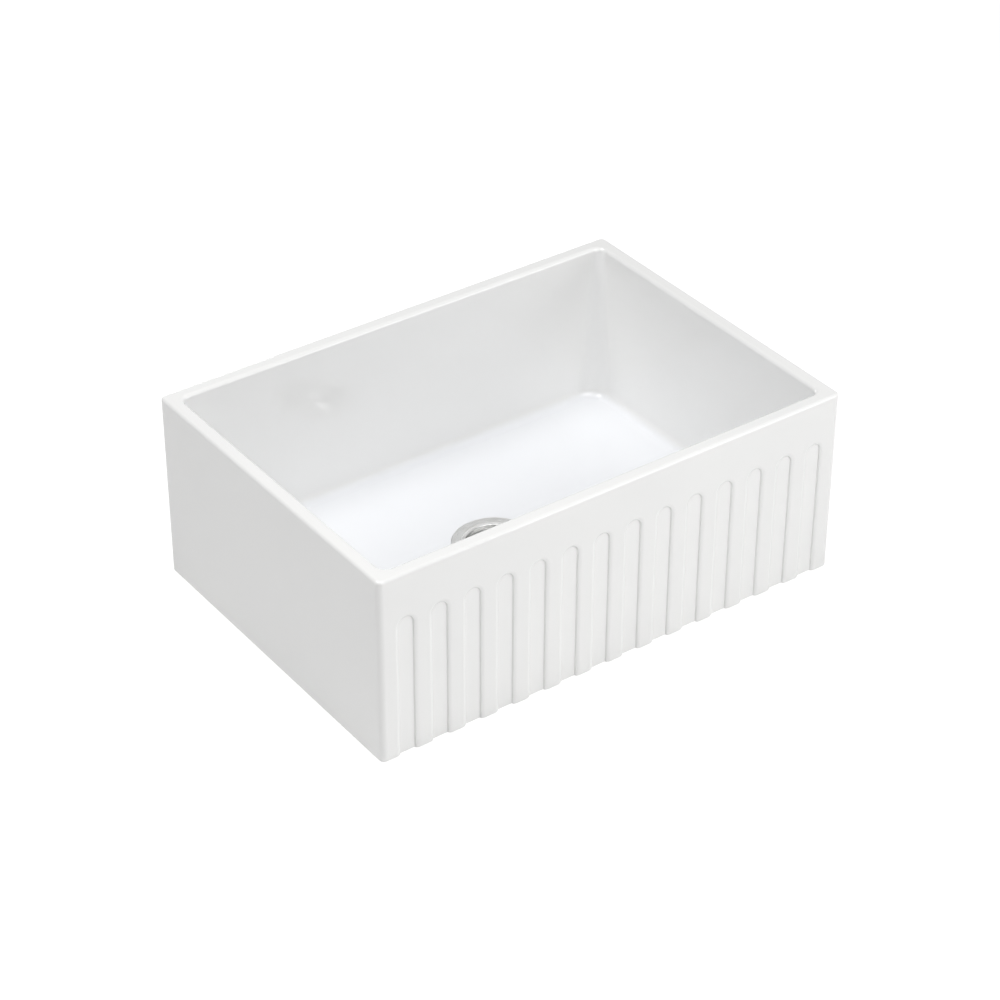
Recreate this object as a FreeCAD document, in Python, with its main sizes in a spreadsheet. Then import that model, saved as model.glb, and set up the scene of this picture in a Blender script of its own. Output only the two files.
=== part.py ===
"""Fireclay apron front kitchen sink with a fluted front and a basket strainer waste.

Millimetres. The origin is the middle of the basin's base: +Z is up, the fluted apron faces -Y.
Every waste piece stands about one upright axis through the middle of the drain hole.
"""
import FreeCAD, Part
import math
import os
import Sketcher

SIZES = {
    # basin
    "basin_width": 685.0,
    "basin_depth": 481.0,
    "basin_height": 259.0,
    "wall_thickness": 19.0,
    "corner_radius": 8.0,
    "rim_outer_radius": 4.0,
    "rim_inner_radius": 5.0,
    "base_edge_radius": 1.5,
    # bowl inside the basin
    "floor_level": 33.0,
    "floor_fall": 2.0,
    "floor_radius": 12.0,
    "bowl_mouth_corner_radius": 13.0,
    "bowl_foot_corner_radius": 34.0,
    "fall_margin": 3.0,
    "fall_end_width": 150.0,
    "fall_end_corner_radius": 30.0,
    # flutes of the apron
    "flute_count": 14,
    "flute_pitch": 46.9,
    "flute_width": 33.0,
    "flute_depth": 3.7,
    "flute_top_drop": 57.0,
    "flute_slope": 78.0,
    "flute_lip_radius": 9.0,
    "flute_lip_turn": 32.0,
    "flute_edge_radius": 1.8,
    "flute_root_radius": 0.5,
    # drain hole
    "waste_back": 10.0,
    "hole_gap": 3.0,
    "recess_depth": 2.0,
    "recess_gap": 1.0,
    "under_recess_depth": 3.0,
    "under_recess_gap": 4.0,
    # waste body: flange, threaded neck and well
    "flange_width": 15.2,
    "flange_thickness": 1.5,
    "flange_lip": 0.9,
    "flange_edge_radius": 0.8,
    "gasket_thickness": 1.5,
    "gasket_width": 8.0,
    "well_radius": 40.5,
    "neck_wall": 2.0,
    "neck_root_radius": 2.0,
    "flare_radius": 4.0,
    "thread_spare": 5.0,
    "shell_thickness": 1.5,
    "well_cone_height": 6.0,
    "well_floor_inset": 7.5,
    # clamped under the basin
    "washer_thickness": 4.0,
    "washer_width": 14.5,
    "friction_thickness": 1.2,
    "friction_width": 12.5,
    "neck_gap": 0.4,
    "lock_nut_height": 13.0,
    "lock_nut_wall": 6.5,
    "lock_nut_edge": 1.0,
    "lug_count": 6,
    "lug_reach": 6.0,
    "lug_width": 11.0,
    # outlet
    "spud_flange_radius": 29.0,
    "spud_flange_thickness": 3.0,
    "spud_radius": 23.4,
    "spud_length": 20.0,
    "spud_bore_radius": 20.0,
    "seat_top_radius": 25.5,
    "seat_depth": 4.0,
    "cross_depth": 11.0,
    "cross_step": 1.4,
    "cross_thickness": 2.5,
    "cross_ring_width": 2.4,
    "cross_hub_wall": 2.2,
    "cross_arm_width": 2.2,
    "joint_washer_thickness": 2.5,
    "tail_radius": 19.05,
    "tail_wall": 1.0,
    "tail_length": 90.0,
    "tail_flange_radius": 23.0,
    "tail_flange_thickness": 1.6,
    "tail_root_radius": 20.4,
    "tail_root_height": 4.5,
    "coupling_flats": 56.0,
    "coupling_engagement": 12.0,
    "coupling_shoulder": 3.5,
    "thread_gap": 0.15,
    # basket
    "rim_overlap": 1.4,
    "rim_edge": 0.65,
    "rim_thickness": 1.5,
    "cup_wall": 0.8,
    "cup_gap": 0.9,
    "cup_depth": 31.0,
    "cup_band": 5.0,
    "cup_taper": 6.6,
    "cup_corner_radius": 5.0,
    "hole_size": 4.2,
    "inner_ring_radius": 14.5,
    "inner_ring_holes": 10,
    "outer_ring_radius": 22.0,
    "outer_ring_holes": 16,
    "wall_holes": 20,
    "wall_row_low": 11.0,
    "wall_row_high": 20.0,
    # guide in the basket's floor
    "guide_radius": 5.5,
    "guide_flange_radius": 9.0,
    "guide_flange_thickness": 2.0,
    "guide_sleeve_radius": 6.4,
    "guide_height": 10.0,
    "guide_nut_flats": 16.0,
    "guide_nut_height": 4.5,
    "seal_wire_radius": 1.0,
    "seal_level": 5.0,
    # stopper on its stem
    "stem_radius": 3.0,
    "stem_thread_radius": 2.4,
    "pin_radius": 2.2,
    "pin_gap": 0.5,
    "pin_point": 0.8,
    "running_gap": 0.06,
    "stopper_travel": 10.0,
    "collar_radius": 5.5,
    "collar_height": 2.0,
    "plate_radius": 22.0,
    "plate_thickness": 1.2,
    "plug_height": 6.0,
    "plug_radius": 25.0,
    "plug_foot_radius": 21.0,
    "plug_edge_radius": 1.0,
    "plug_nut_flats": 10.0,
    "plug_nut_height": 4.0,
    "knob_radius": 11.0,
    "knob_height": 14.0,
    "knob_rise": 6.0,
    "knob_neck_radius": 6.5,
    "knob_neck_height": 5.0,
    "knob_cap_height": 6.0,
    "knob_edge_radius": 2.0,
    "socket_depth": 9.0,
    # clearances shared by all pieces
    "fit_gap": 0.1,
    "seat_gap": 0.3,
}

# a sketch's axes and the ends of its edges, as the sketcher numbers them
LEVEL, UPRIGHT = -1, -2
BEGIN, FINISH, CENTRE = 1, 2, 3

doc = FreeCAD.newDocument("apron_sink")
sheet = doc.addObject("Spreadsheet::Sheet", "sizes")
for row, (alias, number) in enumerate(SIZES.items(), start=1):
    sheet.set(f"A{row}", str(number))
    sheet.setAlias(f"A{row}", alias)
doc.recompute()


class Length:
    """A measure worked out from the sheet: its expression and its present value."""

    def __init__(self, text, value):
        self.text = text
        self.value = value

    def __add__(self, other):
        other = measure(other)
        return Length(f"({self.text} + {other.text})", self.value + other.value)

    def __sub__(self, other):
        other = measure(other)
        return Length(f"({self.text} - {other.text})", self.value - other.value)

    def __mul__(self, other):
        other = measure(other)
        return Length(f"({self.text} * {other.text})", self.value * other.value)

    def __truediv__(self, other):
        other = measure(other)
        return Length(f"({self.text} / {other.text})", self.value / other.value)

    def __neg__(self):
        return Length(f"(0 - {self.text})", -self.value)


def measure(item):
    """A plain number as a measure; a measure as it is."""
    return item if isinstance(item, Length) else Length(str(item), item)


def root(item):
    """The square root of a measure."""
    item = measure(item)
    return Length(f"sqrt({item.text})", math.sqrt(item.value))


def cosine(degrees):
    """The cosine of an angle in degrees, plain where the angle is a plain number."""
    if not isinstance(degrees, Length):
        return round(math.cos(math.radians(degrees)), 9)
    return Length(f"cos({degrees.text} * 1 deg)", math.cos(math.radians(degrees.value)))


def sine(degrees):
    """The sine of an angle in degrees, plain where the angle is a plain number."""
    return cosine(degrees - 90)


class Sheet:
    """The cells of the sheet, each read as a measure by its alias."""

    def __getattr__(self, alias):
        return Length(f"sizes.{alias}", float(SIZES[alias]))


size = Sheet()

# levels above the base and radii about the drain's axis that several pieces share
bowl_x = size.basin_width / 2 - size.wall_thickness
bowl_y = size.basin_depth / 2 - size.wall_thickness
drain_seat = size.floor_level - size.floor_fall - size.recess_depth
flange_under = drain_seat + size.gasket_thickness
flange_top = flange_under + size.flange_thickness
washer_under = size.under_recess_depth - size.washer_thickness
nut_top = washer_under - size.friction_thickness
nut_under = nut_top - size.lock_nut_height
neck_end = nut_under - size.thread_spare
neck_radius = size.well_radius + size.neck_wall
neck_clear = neck_radius + size.neck_gap
hole_radius = neck_radius + size.hole_gap
flange_radius = size.well_radius + size.flange_width
lip_inside = flange_radius - size.flange_lip
washer_radius = neck_radius + size.washer_width
lock_nut_radius = neck_radius + size.lock_nut_wall
well_floor_radius = size.well_radius - size.well_floor_inset
well_under = neck_end - size.well_cone_height
well_floor = well_under + size.shell_thickness
spud_top = well_floor + size.spud_flange_thickness
spud_end = well_under - size.spud_length
spud_step_radius = size.spud_bore_radius - size.cross_step
cross_top = spud_top - size.cross_depth
cross_under = cross_top - size.cross_thickness
pin_hole = size.pin_radius + size.pin_gap
tail_top = spud_end - size.joint_washer_thickness
tail_flange_under = tail_top - size.tail_flange_thickness
tail_bore = size.tail_radius - size.tail_wall

# the basket's rim rests a seat's gap above the round flare at the mouth of the well
rim_radius = size.well_radius + size.rim_overlap
rim_reach = size.flare_radius + size.rim_edge + size.seat_gap
rim_side = size.flare_radius + size.rim_edge - size.rim_overlap
rim_lift = root(rim_reach * rim_reach - rim_side * rim_side)
rim_under = flange_top - size.flare_radius + rim_lift - size.rim_edge
cup_under = rim_under - size.cup_depth
cup_floor = cup_under + size.cup_wall

# the plug's cone rests a seat's gap above the cone in the outlet
seat_slope = size.seat_depth / (size.seat_top_radius - size.spud_bore_radius)
foot_rise = (size.plug_foot_radius - size.spud_bore_radius) * seat_slope
plug_foot = spud_top - size.seat_depth + foot_rise + size.seat_gap
plug_top = plug_foot + size.plug_height
plug_nut_under = plug_foot - size.plug_nut_height
collar_foot = plug_top + size.plate_thickness
collar_top = collar_foot + size.collar_height
guide_end = collar_top + size.stopper_travel + size.seat_gap
knob_top = flange_top + size.knob_rise
knob_foot = knob_top - size.knob_height
stem_hole = size.stem_thread_radius + size.fit_gap

pieces = []


def tie(thing, **properties):
    """Bind properties of an object to measures of the sheet."""
    for name, item in properties.items():
        thing.setExpression(name.replace("__", "."), measure(item).text)


def keep(piece, node, on_axis=True):
    """Name a finished piece after its node and centre it on the drain's axis where it belongs there."""
    piece.Label = node
    if on_axis:
        tie(piece, Placement__Base__y=size.waste_back)
    pieces.append(piece)


def new_body(node):
    """A body for one piece."""
    return doc.addObject("PartDesign::Body", node)


def new_sketch(body, name, role="XY_Plane", across=0, up=0, level=0):
    """A sketch on one of the body's origin planes, moved in that plane and along its normal."""
    plane = next(feature for feature in body.Origin.OriginFeatures if feature.Role == role)
    sketch = body.newObject("Sketcher::SketchObject", name)
    sketch.AttachmentSupport = (plane, [""])
    sketch.MapMode = "FlatFace"
    for axis, item in (("x", across), ("y", up), ("z", level)):
        tie(sketch, **{f"AttachmentOffset__Base__{axis}": item})
    return sketch


def tie_distance(sketch, edge, end, kind, item):
    """Hold one end of a sketch edge at a bound distance across or up from the sketch's origin."""
    if not isinstance(item, Length):
        axis = UPRIGHT if kind == "DistanceX" else LEVEL
        sketch.addConstraint(Sketcher.Constraint("PointOnObject", edge, end, axis))
        return
    index = sketch.addConstraint(Sketcher.Constraint(kind, LEVEL, BEGIN, edge, end, item.value))
    sketch.setExpression(f"Constraints[{index}]", item.text)


def tie_point(sketch, edge, end, across, up):
    """Hold one end of a sketch edge at bound distances from the sketch's origin; 0 is on the axis."""
    tie_distance(sketch, edge, end, "DistanceX", across)
    tie_distance(sketch, edge, end, "DistanceY", up)


def spot(across, up):
    """The present place of a bound point in its sketch."""
    return FreeCAD.Vector(measure(across).value, measure(up).value, 0)


def outline(sketch, corners):
    """A closed outline of straight edges through bound corners."""
    count = len(corners)
    for step, corner in enumerate(corners):
        following = corners[(step + 1) % count]
        sketch.addGeometry(Part.LineSegment(spot(*corner), spot(*following)), False)
    for step, corner in enumerate(corners):
        following = (step + 1) % count
        sketch.addConstraint(Sketcher.Constraint("Coincident", step, FINISH, following, BEGIN))
        tie_point(sketch, step, BEGIN, *corner)
    return sketch


def circle(sketch, radius, across=0, up=0):
    """A circle with a bound radius and centre."""
    round_line = Part.Circle(spot(across, up), FreeCAD.Vector(0, 0, 1), radius.value)
    edge = sketch.addGeometry(round_line, False)
    index = sketch.addConstraint(Sketcher.Constraint("Radius", edge, radius.value))
    sketch.setExpression(f"Constraints[{index}]", radius.text)
    tie_point(sketch, edge, CENTRE, across, up)
    return sketch


def shifted(start, radius, share):
    """A coordinate moved by a share of a radius; a plain coordinate stays plain where it can."""
    return start if share == 0 else radius * share + start


def on_circle(across, up, radius, bearing):
    """The point of a circle at a bearing in degrees, anticlockwise from rightwards."""
    east = shifted(across, radius, cosine(bearing))
    north = shifted(up, radius, sine(bearing))
    return east, north


def arc(sketch, across, up, radius, first, last):
    """An arc with bound sizes, anticlockwise between two bearings in degrees."""
    round_line = Part.Circle(spot(across, up), FreeCAD.Vector(0, 0, 1), radius.value)
    ends = [math.radians(measure(bearing).value) for bearing in (first, last)]
    edge = sketch.addGeometry(Part.ArcOfCircle(round_line, *ends), False)
    tie_point(sketch, edge, CENTRE, across, up)
    tie_point(sketch, edge, BEGIN, *on_circle(across, up, radius, first))
    east, north = on_circle(across, up, radius, last)
    if abs(math.sin(ends[1])) > abs(math.cos(ends[1])):
        tie_distance(sketch, edge, FINISH, "DistanceX", east)
    else:
        tie_distance(sketch, edge, FINISH, "DistanceY", north)
    return edge


def link(sketch, one, one_end, other, other_end):
    """A straight edge between the ends of two others."""
    chord = Part.LineSegment(sketch.getPoint(one, one_end), sketch.getPoint(other, other_end))
    edge = sketch.addGeometry(chord, False)
    sketch.addConstraint(Sketcher.Constraint("Coincident", one, one_end, edge, BEGIN))
    sketch.addConstraint(Sketcher.Constraint("Coincident", edge, FINISH, other, other_end))
    return edge


def spur(sketch, one, one_end, across, up):
    """A straight edge from the end of another to a bound corner."""
    chord = Part.LineSegment(sketch.getPoint(one, one_end), spot(across, up))
    edge = sketch.addGeometry(chord, False)
    sketch.addConstraint(Sketcher.Constraint("Coincident", one, one_end, edge, BEGIN))
    tie_point(sketch, edge, FINISH, across, up)
    return edge


def rounded_rectangle(sketch, half_x, half_y, radius):
    """A rectangle with round corners about the sketch's origin."""
    right = half_x - radius
    back = half_y - radius
    corners = [
        arc(sketch, right, back, radius, 0, 90),
        arc(sketch, -right, back, radius, 90, 180),
        arc(sketch, -right, -back, radius, 180, 270),
        arc(sketch, right, -back, radius, 270, 360),
    ]
    for corner, following in zip(corners, corners[1:] + corners[:1]):
        link(sketch, corner, FINISH, following, BEGIN)
    return sketch


def add(body, kind, name, sketch, **properties):
    """A feature of the body made from a sketch."""
    made = body.newObject("PartDesign::" + kind, name)
    made.Profile = sketch
    tie(made, **properties)
    return made


def turn(body, name, corners):
    """Turn a half outline, drawn right of the upright axis, into a round solid."""
    sketch = outline(new_sketch(body, name + "_outline", "XZ_Plane"), corners)
    made = add(body, "Revolution", name, sketch)
    made.ReferenceAxis = (sketch, ["V_Axis"])
    doc.recompute()
    return made


def round_row(body, name, original, axis, count):
    """Repeat a feature evenly all the way round an axis of its sketch."""
    row = body.newObject("PartDesign::PolarPattern", name)
    row.Originals = [original]
    row.Axis = (original.Profile[0], [axis])
    row.Angle = 360
    tie(row, Occurrences=count)
    body.Tip = row
    doc.recompute()
    return row


def soften(body, name, amount, chosen, kind="Fillet"):
    """Round or bevel the chosen edges of the body's last feature."""
    tip = body.Tip
    names = [f"Edge{index}" for index, edge in enumerate(tip.Shape.Edges, start=1) if chosen(edge)]
    made = body.newObject("PartDesign::" + kind, name)
    made.Base = (tip, names)
    tie(made, **{"Radius" if kind == "Fillet" else "Size": amount})
    doc.recompute()
    return made


def near(one, other):
    """True where two lengths agree."""
    return abs(one - other) < 1e-4


def ring_at(radius, height):
    """A test for a circular edge of this radius at this height."""
    return lambda edge: (
        isinstance(edge.Curve, Part.Circle)
        and near(edge.Curve.Radius, radius.value)
        and near(edge.Curve.Center.z, measure(height).value)
    )


def lies_at(edge, height):
    """True where the edge lies level at this height."""
    level = measure(height).value
    points = [edge.valueAt(step) for step in edge.ParameterRange] + [edge.CenterOfMass]
    return all(near(point.z, level) for point in points)


def disc(radius, height, level):
    """A plain cylinder about the upright axis."""
    solid = doc.addObject("Part::Cylinder", "disc")
    tie(solid, Radius=radius, Height=height, Placement__Base__z=level)
    return solid


def combine(kind, base, tool):
    """Two solids cut, fused or held in common."""
    result = doc.addObject("Part::" + kind, kind.lower())
    result.Base = base
    result.Tool = tool
    return result


def bore(base, radius, height, level):
    """A solid less a round hole that runs out past its two ends."""
    tool = disc(radius, height + size.seat_gap + size.seat_gap, level - size.seat_gap)
    return combine("Cut", base, tool)


def flat_ring(node, outer, inner, thickness, level):
    """A flat ring between two radii."""
    keep(bore(disc(outer, thickness, level), inner, thickness, level), node)


def hexagon(flats, height, level):
    """A six-sided bar, its lower corners bevelled by a cone."""
    bar = doc.addObject("Part::Prism", "hexagon")
    bar.Polygon = 6
    tie(bar, Circumradius=flats / root(3), Height=height, Placement__Base__z=level)
    cone = doc.addObject("Part::Cone", "bevel")
    tie(cone, Radius1=flats / 2, Radius2=flats / 2 + height * root(3))
    tie(cone, Height=height, Placement__Base__z=level)
    return combine("Common", bar, cone)


def make_basin():
    """The fireclay basin: block, bowl, fall to the drain, drain hole, seats and fluted apron."""
    body = new_body("basin")
    block = new_sketch(body, "block_outline")
    rounded_rectangle(block, size.basin_width / 2, size.basin_depth / 2, size.corner_radius)
    add(body, "Pad", "block", block, Length=size.basin_height)

    mouth = new_sketch(body, "bowl_mouth", level=size.basin_height)
    rounded_rectangle(mouth, bowl_x, bowl_y, size.bowl_mouth_corner_radius)
    foot = new_sketch(body, "bowl_foot", level=size.floor_level)
    rounded_rectangle(foot, bowl_x, bowl_y, size.bowl_foot_corner_radius)
    bowl = add(body, "SubtractiveLoft", "bowl", mouth)
    bowl.Sections = [foot]
    bowl.Ruled = True
    doc.recompute()
    soften(body, "bowl_floor_round", size.floor_radius, lambda edge: lies_at(edge, size.floor_level))

    inset = size.floor_radius + size.fall_margin
    fall_top = new_sketch(body, "fall_top", level=size.floor_level)
    foot_round = size.bowl_foot_corner_radius - size.floor_radius
    rounded_rectangle(fall_top, bowl_x - inset, bowl_y - inset, foot_round)
    end_level = size.floor_level - size.floor_fall
    fall_end = new_sketch(body, "fall_end", up=size.waste_back, level=end_level)
    half_end = size.fall_end_width / 2
    rounded_rectangle(fall_end, half_end, half_end, size.fall_end_corner_radius)
    fall = add(body, "SubtractiveLoft", "floor_fall", fall_top)
    fall.Sections = [fall_end]
    fall.Ruled = True

    recess = new_sketch(body, "recess_outline", up=size.waste_back, level=drain_seat)
    circle(recess, flange_radius + size.recess_gap)
    recess_cut = size.recess_depth + size.floor_fall
    add(body, "Pocket", "drain_recess", recess, Length=recess_cut).Reversed = True
    hole = new_sketch(body, "hole_outline", up=size.waste_back)
    circle(hole, hole_radius)
    add(body, "Pocket", "drain_hole", hole, Length=size.floor_level).Reversed = True
    under = new_sketch(body, "under_recess_outline", up=size.waste_back)
    under_radius = washer_radius + size.under_recess_gap
    circle(under, under_radius)
    under_cut = add(body, "Pocket", "under_recess", under, Length=size.under_recess_depth)
    under_cut.Reversed = True
    doc.recompute()

    def on_rim(edge, inside):
        """True for an edge of the rim's inner or outer loop."""
        middle = edge.CenterOfMass
        limit_x = (bowl_x + size.wall_thickness / 2).value
        limit_y = (bowl_y + size.wall_thickness / 2).value
        inner = abs(middle.x) < limit_x and abs(middle.y) < limit_y
        return lies_at(edge, size.basin_height) and inner == inside

    soften(body, "rim_inner_round", size.rim_inner_radius, lambda edge: on_rim(edge, True))
    soften(body, "rim_outer_round", size.rim_outer_radius, lambda edge: on_rim(edge, False))
    make_flutes(body)
    is_recess = ring_at(under_radius, 0)
    soften(
        body,
        "base_round",
        size.base_edge_radius,
        lambda edge: lies_at(edge, 0) and not is_recess(edge),
    )
    keep(body, "basin", on_axis=False)


def draw_flank(sketch, side):
    """One side of a flute's plan, to the right (1) or left (-1) of its middle.

    A wide lip leaves the apron's face and turns over a tighter edge into a sloping wall, which
    ends in a round root. Gives the lip and the root.
    """
    lip, edge, corner = size.flute_lip_radius, size.flute_edge_radius, size.flute_root_radius
    slope, lip_turn = size.flute_slope, size.flute_lip_turn
    lip_x = size.flute_width / 2
    edge_x = lip_x - (lip - edge) * sine(lip_turn)
    edge_y = lip - (lip - edge) * cosine(lip_turn)
    wall_y = edge_y - edge * cosine(slope)
    root_y = size.flute_depth - corner
    wall_rise = root_y + corner * cosine(slope) - wall_y
    wall_run = wall_rise * cosine(slope) / sine(slope)
    root_x = edge_x - (edge + corner) * sine(slope) - wall_run

    def swing(across, up, radius, first, last):
        """An arc of the right side, or its image on the left."""
        if side > 0:
            return arc(sketch, across, up, radius, first, last)
        return arc(sketch, -across, up, radius, measure(180) - last, measure(180) - first)

    down = measure(270)
    lip_arc = swing(lip_x, lip, lip, down - lip_turn, down)
    edge_arc = swing(edge_x, edge_y, edge, down - slope, down - lip_turn)
    root_arc = swing(root_x, root_y, corner, measure(90) - slope, measure(90))
    inner, outer = (BEGIN, FINISH) if side > 0 else (FINISH, BEGIN)
    link(sketch, root_arc, inner, edge_arc, inner)
    return lip_arc, root_arc, outer


def draw_flute(sketch, whole):
    """The plan of a flute, whole or only the half right of its middle for turning its round top."""
    clear = -size.flute_depth
    lip_right, root_right, outer = draw_flank(sketch, 1)
    side_right = spur(sketch, lip_right, outer, size.flute_width / 2, clear)
    if whole:
        lip_left, root_left, outer_left = draw_flank(sketch, -1)
        link(sketch, root_right, outer, root_left, outer_left)
        side_left = spur(sketch, lip_left, outer_left, -(size.flute_width / 2), clear)
        link(sketch, side_left, FINISH, side_right, FINISH)
    else:
        floor = spur(sketch, root_right, outer, 0, size.flute_depth)
        middle = spur(sketch, floor, FINISH, 0, clear)
        link(sketch, middle, FINISH, side_right, FINISH)


def make_flutes(body):
    """Recessed flutes with round tops, open at the base, along the apron."""
    row_length = size.flute_pitch * (size.flute_count - 1)
    first = -(row_length / 2)
    face = -(size.basin_depth / 2)
    crown = size.basin_height - size.flute_top_drop - size.flute_width / 2

    plan = new_sketch(body, "flute_plan", across=first, up=face)
    draw_flute(plan, whole=True)
    groove = add(body, "Pocket", "flute", plan, Length=crown)
    groove.Reversed = True
    top_plan = new_sketch(body, "flute_top_plan", across=first, up=face, level=crown)
    draw_flute(top_plan, whole=False)
    top = add(body, "Groove", "flute_top", top_plan)
    top.ReferenceAxis = (top_plan, ["V_Axis"])
    top.Angle = 180
    top.Reversed = True
    doc.recompute()

    flutes = body.newObject("PartDesign::LinearPattern", "flutes")
    flutes.Originals = [groove, top]
    flutes.Direction = (plan, ["H_Axis"])
    tie(flutes, Length=row_length, Occurrences=size.flute_count)
    body.Tip = flutes
    doc.recompute()


def make_strainer_body():
    """The pressed steel waste body: a flange with a turned-down lip, threaded neck and well."""
    body = new_body("strainer_body")
    spud_hole = size.spud_radius + size.fit_gap
    lip_end = drain_seat + size.seat_gap
    corners = [
        (spud_hole, well_under),
        (well_floor_radius, well_under),
        (neck_radius, neck_end),
        (neck_radius, flange_under),
        (lip_inside, flange_under),
        (lip_inside, lip_end),
        (flange_radius, lip_end),
        (flange_radius, flange_top),
        (size.well_radius, flange_top),
        (size.well_radius, neck_end),
        (well_floor_radius, well_floor),
        (spud_hole, well_floor),
    ]
    turn(body, "shell", corners)
    soften(body, "flare", size.flare_radius, ring_at(size.well_radius, flange_top))
    soften(body, "neck_root", size.neck_root_radius, ring_at(neck_radius, flange_under))
    soften(body, "flange_edge", size.flange_edge_radius, ring_at(flange_radius, flange_top))
    keep(body, "strainer_body")


def make_clamping():
    """The gasket under the flange; washer, friction ring and lugged nut under the basin."""
    gasket_outer = lip_inside - size.fit_gap
    gasket_inner = gasket_outer - size.gasket_width
    flat_ring("flange_gasket", gasket_outer, gasket_inner, size.gasket_thickness, drain_seat)
    flat_ring("rubber_washer", washer_radius, neck_clear, size.washer_thickness, washer_under)
    friction_radius = neck_radius + size.friction_width
    flat_ring("friction_ring", friction_radius, neck_clear, size.friction_thickness, nut_top)

    body = new_body("lock_nut")
    hole = neck_radius + size.thread_gap
    plan = new_sketch(body, "nut_plan", level=nut_under)
    circle(plan, lock_nut_radius)
    circle(plan, hole)
    add(body, "Pad", "nut_ring", plan, Length=size.lock_nut_height)
    lug_plan = new_sketch(body, "lug_plan", level=nut_under)
    half_lug = size.lug_width / 2
    lug_start = lock_nut_radius - size.lug_reach / 2
    lug_end = lock_nut_radius + size.lug_reach
    lug_corners = [
        (lug_start, -half_lug),
        (lug_end, -half_lug),
        (lug_end, half_lug),
        (lug_start, half_lug),
    ]
    outline(lug_plan, lug_corners)
    lug = add(body, "Pad", "lug", lug_plan, Length=size.lock_nut_height)
    doc.recompute()
    round_row(body, "lugs", lug, "N_Axis", size.lug_count)
    for end, level in (("under", nut_under), ("top", nut_top)):
        soften(body, f"thread_mouth_{end}", size.lock_nut_edge, ring_at(hole, level), "Chamfer")
    keep(body, "lock_nut")


def make_outlet():
    """The brass outlet spud with its conical seat, and the cross that steadies the stem's pin."""
    body = new_body("outlet_spud")
    corners = [
        (spud_step_radius, spud_end),
        (size.spud_radius, spud_end),
        (size.spud_radius, well_floor),
        (size.spud_flange_radius, well_floor),
        (size.spud_flange_radius, spud_top),
        (size.seat_top_radius, spud_top),
        (size.spud_bore_radius, spud_top - size.seat_depth),
        (size.spud_bore_radius, cross_under),
        (spud_step_radius, cross_under),
    ]
    turn(body, "spud", corners)
    keep(body, "outlet_spud")

    outer = size.spud_bore_radius - size.fit_gap
    hub = pin_hole + size.cross_hub_wall
    inner = outer - size.cross_ring_width
    frame = bore(disc(outer, size.cross_thickness, cross_under), inner, size.cross_thickness, cross_under)
    frame = combine("Fuse", frame, disc(hub, size.cross_thickness, cross_under))
    reach = outer - size.cross_ring_width / 2
    width = size.cross_arm_width
    for long_x, long_y in ((reach + reach, width), (width, reach + reach)):
        arm = doc.addObject("Part::Box", "arm")
        tie(arm, Length=long_x, Width=long_y, Height=size.cross_thickness)
        tie(arm, Placement__Base__x=-(long_x / 2), Placement__Base__y=-(long_y / 2))
        tie(arm, Placement__Base__z=cross_under)
        frame = combine("Fuse", frame, arm)
    keep(bore(frame, pin_hole, size.cross_thickness, cross_under), "outlet_cross")


def make_tail():
    """The flanged tailpiece, its sealing washer and the coupling nut that draws it up."""
    washer_bore = spud_step_radius
    washer_height = size.joint_washer_thickness
    flat_ring("tailpiece_washer", size.tail_flange_radius, washer_bore, washer_height, tail_top)

    body = new_body("tailpiece")
    tail_end = tail_flange_under - size.tail_length
    corners = [
        (tail_bore, tail_end),
        (size.tail_radius, tail_end),
        (size.tail_radius, tail_flange_under - size.tail_root_height),
        (size.tail_root_radius, tail_flange_under),
        (size.tail_flange_radius, tail_flange_under),
        (size.tail_flange_radius, tail_top),
        (tail_bore, tail_top),
    ]
    turn(body, "tube", corners)
    keep(body, "tailpiece")

    nut_end = tail_flange_under - size.coupling_shoulder
    nut_height = spud_end + size.coupling_engagement - nut_end
    thread_height = nut_height - size.coupling_shoulder
    thread = disc(size.spud_radius + size.thread_gap, thread_height + size.seat_gap, tail_flange_under)
    nut = combine("Cut", hexagon(size.coupling_flats, nut_height, nut_end), thread)
    keep(bore(nut, size.tail_root_radius + size.neck_gap, nut_height, nut_end), "coupling_nut")


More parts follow.
